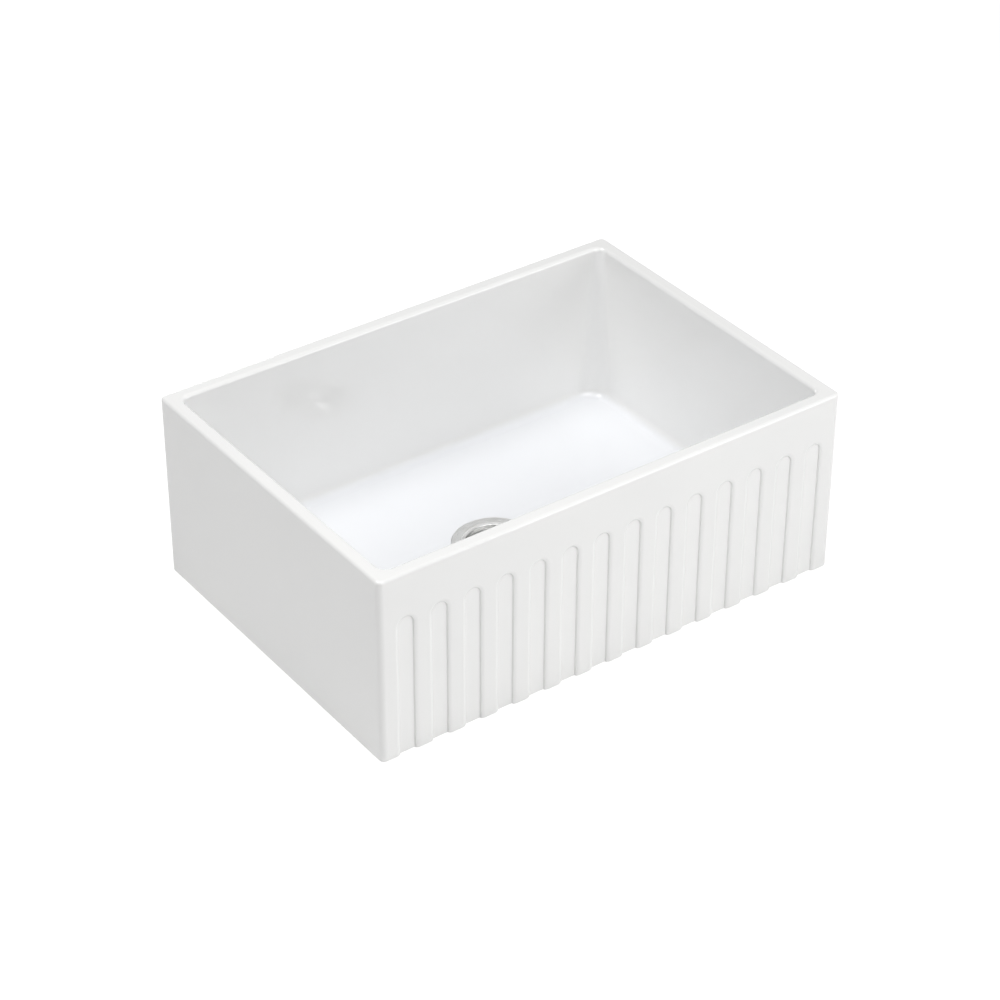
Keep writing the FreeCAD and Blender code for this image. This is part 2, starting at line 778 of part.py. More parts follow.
def make_basket():
    """The perforated basket with its guide bush, the nut below it and the stem's seal."""
    body = new_body("basket_cup")
    cup_radius = size.well_radius - size.cup_gap
    cup_inside = cup_radius - size.cup_wall
    cup_floor_radius = cup_radius - size.cup_taper
    floor_inside = cup_floor_radius - size.cup_wall
    band_under = rim_under - size.cup_band
    guide_hole = size.guide_radius + size.fit_gap
    rim_top = rim_under + size.rim_thickness
    corners = [
        (guide_hole, cup_under),
        (cup_floor_radius, cup_under),
        (cup_radius, band_under),
        (cup_radius, rim_under),
        (rim_radius, rim_under),
        (rim_radius, rim_top),
        (cup_inside, rim_top),
        (cup_inside, band_under),
        (floor_inside, cup_floor),
        (guide_hole, cup_floor),
    ]
    turn(body, "cup", corners)
    inner_corner = size.cup_corner_radius - size.cup_wall
    soften(body, "foot_round", size.cup_corner_radius, ring_at(cup_floor_radius, cup_under))
    soften(body, "floor_round", inner_corner, ring_at(floor_inside, cup_floor))
    soften(body, "rim_under_round", size.rim_edge, ring_at(rim_radius, rim_under))
    soften(body, "rim_top_round", size.rim_edge, ring_at(rim_radius, rim_top))
    soften(body, "rim_mouth_round", size.rim_edge, ring_at(cup_inside, rim_top))

    rings = (
        ("inner", size.inner_ring_radius, size.inner_ring_holes),
        ("outer", size.outer_ring_radius, size.outer_ring_holes),
    )
    for name, radius, count in rings:
        plan = new_sketch(body, f"{name}_hole_plan", level=cup_under - size.seat_gap)
        circle(plan, size.hole_size / 2, across=radius)
        depth = size.cup_wall + size.seat_gap + size.seat_gap
        hole = add(body, "Pocket", f"{name}_hole", plan, Length=depth)
        hole.Reversed = True
        doc.recompute()
        round_row(body, f"{name}_holes", hole, "N_Axis", count)
    for name, height in (("low", size.wall_row_low), ("high", size.wall_row_high)):
        plan = new_sketch(body, f"{name}_wall_hole_plan", "XZ_Plane")
        circle(plan, size.hole_size / 2, up=cup_floor + height)
        hole = add(body, "Pocket", f"{name}_wall_hole", plan, Length=size.well_radius)
        doc.recompute()
        round_row(body, f"{name}_wall_holes", hole, "V_Axis", size.wall_holes)
    keep(body, "basket_cup")
    make_guide()


def make_guide():
    """The bush that guides the stem through the basket's floor, its nut and its seal."""
    body = new_body("guide_bush")
    hole = size.stem_radius + size.running_gap
    flange_level = cup_floor + size.guide_flange_thickness
    guide_top = cup_floor + size.guide_height
    wire = size.seal_wire_radius
    groove_radius = hole + wire + wire + size.fit_gap
    groove_under = cup_floor + size.seal_level
    seal_middle = groove_under + size.fit_gap + wire
    groove_top = seal_middle + wire + size.fit_gap
    corners = [
        (hole, guide_end),
        (size.guide_radius, guide_end),
        (size.guide_radius, cup_floor),
        (size.guide_flange_radius, cup_floor),
        (size.guide_flange_radius, flange_level),
        (size.guide_sleeve_radius, flange_level),
        (size.guide_sleeve_radius, guide_top),
        (hole, guide_top),
        (hole, groove_top),
        (groove_radius, groove_top),
        (groove_radius, groove_under),
        (hole, groove_under),
    ]
    turn(body, "bush", corners)
    keep(body, "guide_bush")

    seal = doc.addObject("Part::Torus", "seal")
    tie(seal, Radius1=hole + wire, Radius2=wire, Placement__Base__z=seal_middle)
    keep(seal, "stem_seal")

    nut_level = cup_under - size.guide_nut_height
    nut_bar = hexagon(size.guide_nut_flats, size.guide_nut_height, nut_level)
    thread = size.guide_radius + size.thread_gap
    keep(bore(nut_bar, thread, size.guide_nut_height, nut_level), "guide_nut")


def make_stopper():
    """The stem with its knob above and the plate, rubber plug and nut below its collar."""
    body = new_body("stem")
    pin_end = cross_under - size.stopper_travel - size.seat_gap
    stem_top = knob_foot + size.socket_depth
    corners = [
        (0, pin_end),
        (size.pin_radius, pin_end),
        (size.pin_radius, plug_nut_under),
        (size.stem_thread_radius, plug_nut_under),
        (size.stem_thread_radius, collar_foot),
        (size.collar_radius, collar_foot),
        (size.collar_radius, collar_top),
        (size.stem_radius, collar_top),
        (size.stem_radius, stem_top),
        (0, stem_top),
    ]
    turn(body, "rod", corners)
    soften(body, "pin_point", size.pin_point, ring_at(size.pin_radius, pin_end), "Chamfer")
    keep(body, "stem")

    body = new_body("knob")
    socket = size.stem_radius + size.fit_gap
    corners = [
        (socket, knob_foot),
        (size.knob_neck_radius, knob_foot),
        (size.knob_neck_radius, knob_foot + size.knob_neck_height),
        (size.knob_radius, knob_top - size.knob_cap_height),
        (size.knob_radius, knob_top),
        (0, knob_top),
        (0, stem_top),
        (socket, stem_top),
    ]
    turn(body, "grip", corners)
    soften(body, "grip_edge", size.knob_edge_radius, ring_at(size.knob_radius, knob_top))
    keep(body, "knob")

    flat_ring("stopper_plate", size.plate_radius, stem_hole, size.plate_thickness, plug_top)
    body = new_body("stopper")
    rim_rise = (size.plug_radius - size.plug_foot_radius) * seat_slope
    corners = [
        (stem_hole, plug_foot),
        (size.plug_foot_radius, plug_foot),
        (size.plug_radius, plug_foot + rim_rise),
        (size.plug_radius, plug_top),
        (stem_hole, plug_top),
    ]
    turn(body, "plug", corners)
    soften(body, "plug_edge", size.plug_edge_radius, ring_at(size.plug_radius, plug_top))
    keep(body, "stopper")

    nut_bar = hexagon(size.plug_nut_flats, size.plug_nut_height, plug_nut_under)
    thread = size.stem_thread_radius + size.thread_gap
    keep(bore(nut_bar, thread, size.plug_nut_height, plug_nut_under), "plug_nut")


make_basin()
make_strainer_body()
make_clamping()
make_outlet()
make_tail()
make_basket()
make_stopper()
doc.recompute()

for thing in doc.Objects:
    if {"Invalid", "Error"} & set(thing.State):
        raise RuntimeError(f"{thing.Name} did not build: {thing.State}")
os.makedirs("parts", exist_ok=True)
for piece in pieces:
    shape = piece.Shape
    if shape.isNull() or not shape.isValid():
        raise RuntimeError(f"{piece.Label} has no sound shape")
    shape.exportStep(f"parts/{piece.Label}.step")
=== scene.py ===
"""Dressed model of a fluted apron front kitchen sink and its strainer waste.

Metres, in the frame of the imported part: the origin is the middle of the basin's base, +Z is up and
the fluted apron faces -Y. Every waste piece is round about one upright axis, the drain's.
"""
import logging
import math
from contextlib import contextmanager
from dataclasses import dataclass, field
from enum import Enum
from typing import Callable, Iterator, Sequence

import bmesh
import bpy
from mathutils import Matrix, Vector


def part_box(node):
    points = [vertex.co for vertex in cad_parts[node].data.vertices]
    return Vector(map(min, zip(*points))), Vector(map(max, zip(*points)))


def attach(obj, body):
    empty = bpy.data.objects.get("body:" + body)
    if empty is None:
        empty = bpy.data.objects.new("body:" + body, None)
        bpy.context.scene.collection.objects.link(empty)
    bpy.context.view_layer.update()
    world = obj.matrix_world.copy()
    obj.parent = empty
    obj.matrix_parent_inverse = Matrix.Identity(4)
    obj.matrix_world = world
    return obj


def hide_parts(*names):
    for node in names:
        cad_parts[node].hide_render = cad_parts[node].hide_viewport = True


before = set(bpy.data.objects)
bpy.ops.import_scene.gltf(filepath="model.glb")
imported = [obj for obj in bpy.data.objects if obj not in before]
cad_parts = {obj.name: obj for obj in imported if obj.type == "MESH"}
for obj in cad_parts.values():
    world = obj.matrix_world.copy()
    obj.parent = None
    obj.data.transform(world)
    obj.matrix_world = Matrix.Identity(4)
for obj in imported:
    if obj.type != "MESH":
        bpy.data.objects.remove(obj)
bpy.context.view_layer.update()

LOG = logging.getLogger("sink")
MM = 0.001
THREAD_CLEARANCE = 0.15 * MM
THREAD_RIDGE = 0.42  # a ridge's radius as a share of the pitch
Profile = list[tuple[float, float]]


class Body(Enum):
    """The bodies that a piece may ride on."""

    SINK = "sink"
    BASKET = "basket"
    STOPPER = "stopper"


class Slot(Enum):
    """The record's material slots."""

    GLAZE = "glaze"
    RUBBER = "rubber"
    STAINLESS = "stainless"
    STAINLESS_DARK = "stainless_dark"
    FIBRE = "fibre"
    NUT_METAL = "nut_metal"
    NYLON = "nylon"
    BRASS = "brass"


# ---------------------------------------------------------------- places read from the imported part


def span(node: str) -> tuple[float, float]:
    """The lowest and highest level of a node."""
    low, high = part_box(node)
    return low.z, high.z


def reach(node: str) -> float:
    """The outer radius of a round node."""
    low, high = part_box(node)
    return (high.x - low.x) / 2


def drain_axis() -> float:
    """How far back the drain's axis stands."""
    low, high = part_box("knob")
    return (low.y + high.y) / 2


AXIS_Y = drain_axis()


# ---------------------------------------------------------------- shaping


def deselect() -> None:
    """Deselect every object."""
    bpy.ops.object.select_all(action="DESELECT")


def take(piece: bpy.types.Object) -> None:
    """Make a piece the only selected one and the active one.

    Args:
        piece: The object that the next operator works on.
    """
    deselect()
    piece.select_set(True)
    bpy.context.view_layer.objects.active = piece


@contextmanager
def editing(piece: bpy.types.Object) -> Iterator[None]:
    """Edit mode on one piece, with nothing selected at the start.

    Args:
        piece: The object to edit.
    """
    take(piece)
    bpy.ops.object.mode_set(mode="EDIT")
    bpy.ops.mesh.select_mode(type="VERT")
    bpy.ops.mesh.select_all(action="DESELECT")
    yield
    bpy.ops.object.mode_set(mode="OBJECT")


def pick_faces(piece: bpy.types.Object, test: Callable[[bmesh.types.BMFace], bool]) -> None:
    """Select the faces that pass a test, in edit mode.

    Args:
        piece: The object in edit mode.
        test: True for a face to select.
    """
    bpy.ops.mesh.select_mode(type="FACE")
    shape = bmesh.from_edit_mesh(piece.data)
    for face in shape.faces:
        face.select_set(test(face))
    bmesh.update_edit_mesh(piece.data)


def settle(piece: bpy.types.Object) -> None:
    """Put a piece's place into its mesh, so that its object sits at the origin.

    Args:
        piece: The object to settle.
    """
    take(piece)
    bpy.ops.object.transform_apply(location=True, rotation=True, scale=True)


def smooth(piece: bpy.types.Object, degrees: float = 35.0) -> None:
    """Shade a piece smooth, except across edges that turn more than an angle.

    Args:
        piece: The object to shade.
        degrees: The largest turn that is still shaded smooth.
    """
    take(piece)
    bpy.ops.object.shade_smooth_by_angle(angle=math.radians(degrees))


def apply_all(piece: bpy.types.Object) -> None:
    """Apply every modifier of a piece.

    Args:
        piece: The object whose modifiers are applied.
    """
    take(piece)
    for modifier in list(piece.modifiers):
        bpy.ops.object.modifier_apply(modifier=modifier.name)


def close_up(piece: bpy.types.Object, gap: float = 1e-6) -> None:
    """Merge doubled points and turn the faces outwards.

    Args:
        piece: The object to clean.
        gap: Points nearer than this become one.
    """
    with editing(piece):
        bpy.ops.mesh.select_all(action="SELECT")
        bpy.ops.mesh.remove_doubles(threshold=gap)
        bpy.ops.mesh.normals_make_consistent(inside=False)


def turned(
    name: str, profile: Profile, steps: int = 96, ring: bool = True
) -> bpy.types.Object:
    """Turn a profile about the drain's axis.

    Args:
        name: The piece's name.
        profile: Corners as radius and level, in metres, in order round the section.
        steps: How many sides the turned piece has.
        ring: True for a ring, whose profile closes; False for a solid with a cap at each end.

    Returns:
        The new object, its place in its mesh.
    """
    deselect()
    radius, level = profile[0]
    bpy.ops.mesh.primitive_circle_add(
        vertices=steps, radius=radius, fill_type="NOTHING", location=(0, AXIS_Y, level)
    )
    piece = bpy.context.object
    piece.name = name
    settle(piece)
    with editing(piece):
        bpy.ops.mesh.select_all(action="SELECT")
        for next_radius, next_level in profile[1:] + (profile[:1] if ring else []):
            rise = (0, 0, next_level - level)
            bpy.ops.mesh.extrude_region_move(TRANSFORM_OT_translate={"value": rise})
            share = next_radius / radius
            centre = (0, AXIS_Y, next_level)
            bpy.ops.transform.resize(value=(share, share, 1), center_override=centre)
            radius, level = next_radius, next_level
        if not ring:
            bpy.ops.mesh.select_all(action="SELECT")
            bpy.ops.mesh.fill_holes(sides=steps)
    close_up(piece)
    smooth(piece)
    return piece


def round_off(piece: bpy.types.Object, edge: float, sharpest: float) -> None:
    """Bevel the sharp edges of a piece.

    Args:
        piece: The object to soften.
        edge: The width of the bevel.
        sharpest: The least turn, in degrees, of an edge that is bevelled.
    """
    with editing(piece):
        bpy.ops.mesh.select_mode(type="EDGE")
        bpy.ops.mesh.edges_select_sharp(sharpness=math.radians(sharpest))
        bpy.ops.mesh.bevel(offset=edge, segments=3, profile=0.5, clamp_overlap=True)


def bearing(face: bmesh.types.BMFace) -> float:
    """The direction of a face's middle from the drain's axis, in degrees from 0 to 360."""
    middle = face.calc_center_median()
    return math.degrees(math.atan2(middle.y - AXIS_Y, middle.x)) % 360


def distance(face: bmesh.types.BMFace) -> float:
    """How far a face's middle is from the drain's axis."""
    middle = face.calc_center_median()
    return math.hypot(middle.x, middle.y - AXIS_Y)


def faces_out(face: bmesh.types.BMFace, low: float, high: float) -> bool:
    """True for an upright face that looks away from the drain's axis, between two levels."""
    middle = face.calc_center_median()
    outward = face.normal.x * middle.x + face.normal.y * (middle.y - AXIS_Y)
    return low < middle.z < high and abs(face.normal.z) < 0.3 and outward > 0


def flatten(piece: bpy.types.Object, flats: float) -> None:
    """Cut six flats round a turned piece, as on a hexagonal nut.

    Args:
        piece: The turned ring.
        flats: The distance between opposite flats.
    """
    for index in range(6):
        turn = math.radians(60 * index + 30)
        ahead = (math.cos(turn), math.sin(turn), 0.0)
        on_flat = (ahead[0] * flats / 2, AXIS_Y + ahead[1] * flats / 2, 0.0)
        with editing(piece):
            bpy.ops.mesh.select_all(action="SELECT")
            bpy.ops.mesh.bisect(
                plane_co=on_flat, plane_no=ahead, use_fill=True, clear_outer=True
            )


def thread(name: str, radius: float, low: float, high: float, pitch: float) -> bpy.types.Object:
    """A screw thread's ridge round the drain's axis.

    Args:
        name: The piece's name.
        radius: The radius of the wall that the thread stands on.
        low: The level where it starts.
        high: The level where it ends.
        pitch: The rise of one turn.

    Returns:
        The new object, its place in its mesh.
    """
    deselect()
    place = (0, AXIS_Y, low + pitch / 2)
    bpy.ops.mesh.primitive_circle_add(
        vertices=3, radius=pitch * THREAD_RIDGE, fill_type="NOTHING", location=place
    )
    piece = bpy.context.object
    piece.name = name
    with editing(piece):
        bpy.ops.mesh.select_all(action="SELECT")
        bpy.ops.transform.rotate(
            value=math.radians(90), orient_axis="X", center_override=place
        )
        bpy.ops.transform.translate(value=(radius, 0, 0))
    screw = piece.modifiers.new("thread", "SCREW")
    screw.axis = "Z"
    screw.angle = math.tau
    screw.iterations = max(1, int((high - low) / pitch - 1))
    screw.screw_offset = pitch
    screw.steps = screw.render_steps = 64
    apply_all(piece)
    with editing(piece):
        bpy.ops.mesh.select_all(action="SELECT")
        bpy.ops.mesh.fill_holes(sides=3)
    settle(piece)
    close_up(piece)
    smooth(piece, 50)
    return piece


# ---------------------------------------------------------------- finishes


@dataclass
class Web:
    """The node tree of a material or a world, built a node at a time."""

    owner: bpy.types.Material | bpy.types.World
    count: int = 0

    def add(self, kind: str, **settings: object) -> bpy.types.Node:
        """Add a node.

        Args:
            kind: The node's type, without its ShaderNode prefix.
            settings: Properties of the node; those named in_ and a number are input values.

        Returns:
            The new node.
        """
        node = self.owner.node_tree.nodes.new("ShaderNode" + kind)
        for name, item in settings.items():
            if name.startswith("in_"):
                node.inputs[int(name[3:])].default_value = item
            else:
                setattr(node, name, item)
        self.count += 1
        node.location = (180 * self.count - 2400, 0)
        return node

    def join(self, source: bpy.types.NodeSocket, target: bpy.types.NodeSocket) -> None:
        """Link two sockets."""
        self.owner.node_tree.links.new(source, target)

    def place(self) -> bpy.types.NodeSocket:
        """The object's own coordinates."""
        return self.add("TexCoord").outputs["Object"]

    def noise(
        self, scale: float, detail: float = 2.0, where: bpy.types.NodeSocket | None = None
    ) -> bpy.types.NodeSocket:
        """A noise pattern's value.

        Args:
            scale: Its grain per metre.
            detail: How many finer layers it has.
            where: The coordinates that it reads; the object's own if left out.

        Returns:
            The value's socket, from 0 to 1.
        """
        node = self.add("TexNoise", noise_dimensions="3D")
        node.inputs["Scale"].default_value = scale
        node.inputs["Detail"].default_value = detail
        self.join(where or self.place(), node.inputs["Vector"])
        return node.outputs["Fac"]

    def maths(
        self, kind: str, first: bpy.types.NodeSocket | float, second: bpy.types.NodeSocket | float
    ) -> bpy.types.NodeSocket:
        """Arithmetic on two values.

        Args:
            kind: The operation's name.
            first: The first value or its socket.
            second: The second value or its socket.

        Returns:
            The result's socket.
        """
        node = self.add("Math", operation=kind)
        for index, item in enumerate((first, second)):
            if isinstance(item, bpy.types.NodeSocket):
                self.join(item, node.inputs[index])
            else:
                node.inputs[index].default_value = item
        return node.outputs[0]

    def between(
        self, value: bpy.types.NodeSocket, low: float, high: float, start: float, end: float
    ) -> bpy.types.NodeSocket:
        """A value's range mapped onto another, and held inside it.

        Args:
            value: The value's socket.
            low: The value that gives start.
            high: The value that gives end.
            start: The result at low.
            end: The result at high.

        Returns:
            The result's socket.
        """
        node = self.add("MapRange", clamp=True, in_1=low, in_2=high, in_3=start, in_4=end)
        self.join(value, node.inputs[0])
        return node.outputs[0]

    def cloud(
        self,
        scale: float,
        detail: float,
        low: float,
        high: float,
        where: bpy.types.NodeSocket | None = None,
    ) -> bpy.types.NodeSocket:
        """A noise pattern stretched from 0 at one of its values to 1 at another.

        Args:
            scale: Its grain per metre.
            detail: How many finer layers it has.
            low: The pattern's value that gives 0.
            high: The pattern's value that gives 1.
            where: The coordinates that it reads; the object's own if left out.

        Returns:
            The value's socket, from 0 to 1.
        """
        return self.between(self.noise(scale, detail, where), low, high, 0.0, 1.0)

    def blend(
        self,
        share: bpy.types.NodeSocket,
        first: Sequence[float] | bpy.types.NodeSocket,
        second: Sequence[float] | bpy.types.NodeSocket,
    ) -> bpy.types.NodeSocket:
        """A mix of two colours.

        Args:
            share: The share of the second colour.
            first: The first colour or its socket.
            second: The second colour or its socket.

        Returns:
            The mixed colour's socket.
        """
        node = self.add("Mix", data_type="RGBA")
        self.join(share, node.inputs["Factor"])
        for socket, item in ((node.inputs[6], first), (node.inputs[7], second)):
            if isinstance(item, bpy.types.NodeSocket):
                self.join(item, socket)
            else:
                socket.default_value = (*item, 1.0)
        return node.outputs[2]

    def bump(
        self,
        height: bpy.types.NodeSocket,
        depth: float,
        strength: float = 1.0,
        under: bpy.types.NodeSocket | None = None,
    ) -> bpy.types.NodeSocket:
        """A surface's small relief.

        Args:
            height: The relief's value from 0 to 1.
            depth: The depth of the relief in metres.
            strength: How much of it shows.
            under: A coarser relief that it lies on.

        Returns:
            The normal's socket.
        """
        node = self.add("Bump")
        node.inputs["Strength"].default_value = strength
        node.inputs["Distance"].default_value = depth
        self.join(height, node.inputs["Height"])
        if under is not None:
            self.join(under, node.inputs["Normal"])
        return node.outputs[0]

    def rings(self) -> bpy.types.NodeSocket:
        """Coordinates that turn with the drain's axis: radius, level and nothing."""
        split = self.add("SeparateXYZ")
        self.join(self.place(), split.inputs[0])
        across = self.maths("MULTIPLY", split.outputs[0], split.outputs[0])
        depth = self.maths("SUBTRACT", split.outputs[1], AXIS_Y)
        depth = self.maths("MULTIPLY", depth, depth)
        radius = self.maths("SQRT", self.maths("ADD", across, depth), 0.0)
        made = self.add("CombineXYZ")
        self.join(radius, made.inputs[0])
        self.join(split.outputs[2], made.inputs[1])
        return made.outputs[0]


def new_web(name: str) -> tuple[Web, bpy.types.Node]:
    """A material with one principled shader.

    Args:
        name: The material's name.

    Returns:
        The material's web and its shader.
    """
    material = bpy.data.materials.new(name)
    material.use_nodes = True
    return Web(material), material.node_tree.nodes["Principled BSDF"]


@dataclass(frozen=True)
class Glaze:
    """Glossy white glaze over fireclay, with the buff clay bare where the basin stands."""

    white: tuple[float, float, float] = (0.904, 0.903, 0.894)
    thin: tuple[float, float, float] = (0.892, 0.892, 0.884)
    # painted sheen: a bluish tint that stands in for bluish light on the bowl floor
    painted_floor_sheen: tuple[float, float, float] = (0.893, 0.905, 0.93)
    painted_sheen_level: float = 0.04
    clay: tuple[float, float, float] = (0.62, 0.55, 0.46)
    clay_shade: float = 0.72
    gloss: float = 0.035
    index: float = 1.65
    bare_level: float = 0.02
    bare_roughness: float = 0.85
    wave_scale: float = 9.0
    peel_scale: float = 160.0
    grain_scale: float = 1500.0

    def build(self) -> bpy.types.Material:
        """Build the material."""
        web, shader = new_web("white_glaze")
        split = web.add("SeparateXYZ")
        web.join(web.place(), split.inputs[0])
        facing = web.add("SeparateXYZ")
        web.join(web.add("NewGeometry").outputs["Normal"], facing.inputs[0])
        down = web.between(facing.outputs[2], -0.55, -0.85, 0.0, 1.0)
        low = web.between(split.outputs[2], self.bare_level, self.bare_level - 0.001, 0.0, 1.0)
        bare = web.maths("MULTIPLY", down, low)

        glazed = web.blend(web.cloud(7.0, 3.0, 0.35, 0.65), self.white, self.thin)
        # Painted sheen: glaze that faces up, low in the bowl (its floor), is tinted bluish to stand
        # in for bluish light falling on it.
        up = web.between(facing.outputs[2], 0.3, 0.9, 0.0, 1.0)
        sunk = web.between(split.outputs[2], self.painted_sheen_level + 0.01, self.painted_sheen_level, 0.0, 1.0)
        glazed = web.blend(web.maths("MULTIPLY", up, sunk), glazed, self.painted_floor_sheen)
        grog = web.cloud(900.0, 4.0, 0.35, 0.7)
        clay = web.blend(grog, self.clay, tuple(part * self.clay_shade for part in self.clay))
        web.join(web.blend(bare, glazed, clay), shader.inputs["Base Color"])

        gloss = web.between(web.noise(35.0, 3.0), 0.3, 0.7, self.gloss * 0.8, self.gloss * 1.25)
        rough = web.maths("MAXIMUM", gloss, web.maths("MULTIPLY", bare, self.bare_roughness))
        web.join(rough, shader.inputs["Roughness"])
        wave = web.bump(web.noise(self.wave_scale, 1.0), 0.0003, 0.2)
        peel = web.bump(web.noise(self.peel_scale, 2.0), 0.00001, 0.3, wave)
        grain = web.maths("MULTIPLY", bare, web.noise(self.grain_scale, 3.0))
        web.join(web.bump(grain, 0.0003, 0.8, peel), shader.inputs["Normal"])
        shader.inputs["IOR"].default_value = self.index
        return web.owner


@dataclass(frozen=True)
class TurnedMetal:
    """Metal with the fine rings that turning or brushing leaves round the drain's axis."""

    name: str
    colour: tuple[float, float, float]
    worn: tuple[float, float, float]
    roughness: float
    ring_scale: float = 2600.0
    ring_depth: float = 0.00002
    stain_scale: float = 60.0

    def build(self) -> bpy.types.Material:
        """Build the material."""
        web, shader = new_web(self.name)
        stretch = web.add("Mapping")
        stretch.inputs["Scale"].default_value = (self.ring_scale, self.ring_scale, 1.0)
        web.join(web.rings(), stretch.inputs["Vector"])
        rings = web.noise(1.0, 3.0, stretch.outputs[0])
        stain = web.cloud(self.stain_scale, 4.0, 0.45, 0.72)
        web.join(web.blend(stain, self.colour, self.worn), shader.inputs["Base Color"])
        low, high = self.roughness * 0.75, self.roughness * 1.35
        rough = web.between(rings, 0.3, 0.7, low, high)
        web.join(rough, shader.inputs["Roughness"])
        web.join(web.bump(rings, self.ring_depth, 0.5), shader.inputs["Normal"])
        shader.inputs["Metallic"].default_value = 1.0
        return web.owner


@dataclass(frozen=True)
class CastMetal:
    """Dull zinc plate over a die casting, with its faint orange skin."""

    name: str = "zinc_plate"
    colour: tuple[float, float, float] = (0.56, 0.56, 0.55)
    dull: tuple[float, float, float] = (0.42, 0.43, 0.42)
    roughness: float = 0.38
    cloud_scale: float = 90.0
    skin_scale: float = 700.0

    def build(self) -> bpy.types.Material:
        """Build the material."""
        web, shader = new_web(self.name)
        cloud = web.cloud(self.cloud_scale, 5.0, 0.38, 0.68)
        web.join(web.blend(cloud, self.colour, self.dull), shader.inputs["Base Color"])
        low, high = self.roughness * 0.8, self.roughness * 1.3
        rough = web.between(web.noise(420.0, 3.0), 0.3, 0.7, low, high)
        web.join(rough, shader.inputs["Roughness"])
        skin = web.bump(web.noise(self.skin_scale, 2.0), 0.00008, 0.5)
        web.join(skin, shader.inputs["Normal"])
        shader.inputs["Metallic"].default_value = 1.0
        return web.owner


@dataclass(frozen=True)
class SoftBlack:
    """Matt moulded rubber, a little grey with dust on its worn places."""

    name: str = "black_rubber"
    colour: tuple[float, float, float] = (0.018, 0.018, 0.02)
    dusty: tuple[float, float, float] = (0.055, 0.054, 0.052)
    dust_scale: float = 120.0
    skin_scale: float = 2400.0

    def build(self) -> bpy.types.Material:
        """Build the material."""
        web, shader = new_web(self.name)
        dust = web.cloud(self.dust_scale, 5.0, 0.42, 0.75)
        web.join(web.blend(dust, self.colour, self.dusty), shader.inputs["Base Color"])
        rough = web.between(dust, 0.0, 1.0, 0.5, 0.72)
        web.join(rough, shader.inputs["Roughness"])
        web.join(web.bump(web.noise(self.skin_scale, 2.0), 0.00004, 0.5), shader.inputs["Normal"])
        shader.inputs["IOR"].default_value = 1.5
        return web.owner


@dataclass(frozen=True)
class PressedFibre:
    """Brown pressed fibre with short flattened strands."""

    name: str = "brown_fibre"
    colour: tuple[float, float, float] = (0.17, 0.09, 0.045)
    pale: tuple[float, float, float] = (0.31, 0.19, 0.1)
    strand_scale: float = 500.0
    strand_turn: float = 0.6
    strand_squeeze: float = 4.0

    def build(self) -> bpy.types.Material:
        """Build the material."""
        web, shader = new_web(self.name)
        strand = web.add("Mapping")
        strand.inputs["Scale"].default_value = (1.0, self.strand_squeeze, 1.0)
        strand.inputs["Rotation"].default_value = (0.0, 0.0, self.strand_turn)
        web.join(web.place(), strand.inputs["Vector"])
        strands = web.noise(self.strand_scale, 5.0, strand.outputs[0])
        share = web.between(strands, 0.35, 0.68, 0.0, 1.0)
        web.join(web.blend(share, self.colour, self.pale), shader.inputs["Base Color"])
        web.join(web.bump(strands, 0.0001, 0.6), shader.inputs["Normal"])
        shader.inputs["Roughness"].default_value = 0.82
        return web.owner


@dataclass(frozen=True)
class WaxyPlastic:
    """White nylon, slightly waxy."""

    name: str = "white_nylon"
    colour: tuple[float, float, float] = (0.78, 0.77, 0.72)
    shade: tuple[float, float, float] = (0.7, 0.69, 0.64)
    cloud_scale: float = 200.0
    skin_scale: float = 1200.0

    def build(self) -> bpy.types.Material:
        """Build the material."""
        web, shader = new_web(self.name)
        share = web.cloud(self.cloud_scale, 3.0, 0.35, 0.65)
        web.join(web.blend(share, self.colour, self.shade), shader.inputs["Base Color"])
        web.join(web.between(share, 0.0, 1.0, 0.36, 0.46), shader.inputs["Roughness"])
        web.join(web.bump(web.noise(self.skin_scale, 2.0), 0.00003, 0.4), shader.inputs["Normal"])
        return web.owner


@dataclass
class Finishes:
    """One material for each slot."""

    made: dict[Slot, bpy.types.Material] = field(default_factory=dict)

    def build(self) -> "Finishes":
        """Build every material.

        Returns:
            This collection, filled.
        """
        steel = TurnedMetal(
            name="satin_steel",
            colour=(0.73, 0.73, 0.725),
            worn=(0.66, 0.66, 0.65),
            roughness=0.3,
            ring_scale=700.0,
            ring_depth=0.00003,
        )
        stamped = TurnedMetal("stamped_steel", (0.5, 0.5, 0.49), (0.42, 0.42, 0.41), 0.34)
        brass = TurnedMetal("machined_brass", (0.68, 0.5, 0.21), (0.5, 0.36, 0.16), 0.28)
        self.made = {
            Slot.GLAZE: Glaze().build(),
            Slot.RUBBER: SoftBlack().build(),
            Slot.STAINLESS: steel.build(),
            Slot.STAINLESS_DARK: stamped.build(),
            Slot.FIBRE: PressedFibre().build(),
            Slot.NUT_METAL: CastMetal().build(),
            Slot.NYLON: WaxyPlastic().build(),
            Slot.BRASS: brass.build(),
        }
        return self

    def dress(self, piece: bpy.types.Object, slot: Slot) -> None:
        """Give a piece the material of a slot, all over.

        Args:
            piece: The object to finish.
            slot: The slot whose finish it takes.
        """
        piece.data.materials.clear()
        piece.data.materials.append(self.made[slot])

    def dress_nodes(self, **slots: Slot) -> None:
        """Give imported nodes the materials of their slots.

        Args:
            slots: The slot whose finish each node takes, by the node's name.
        """
        for node, slot in slots.items():
            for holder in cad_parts[node].material_slots:
                holder.material = self.made[slot]

    def fit(self, piece: bpy.types.Object, slot: Slot, body: Body, *nodes: str) -> None:
        """Finish a new piece and put it on its body.

        Args:
            piece: The new object.
            slot: The slot whose finish it takes.
            body: The body that it rides on.
            nodes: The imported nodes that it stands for, if any.
        """
        self.dress(piece, slot)
        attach(piece, body.value)
        if nodes:
            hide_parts(*nodes)


# ---------------------------------------------------------------- sub-assemblies


@dataclass
class Basin:
    """The glazed fireclay basin."""

    finishes: Finishes

    def dress(self) -> None:
        """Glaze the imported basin."""
        self.finishes.dress_nodes(basin=Slot.GLAZE)


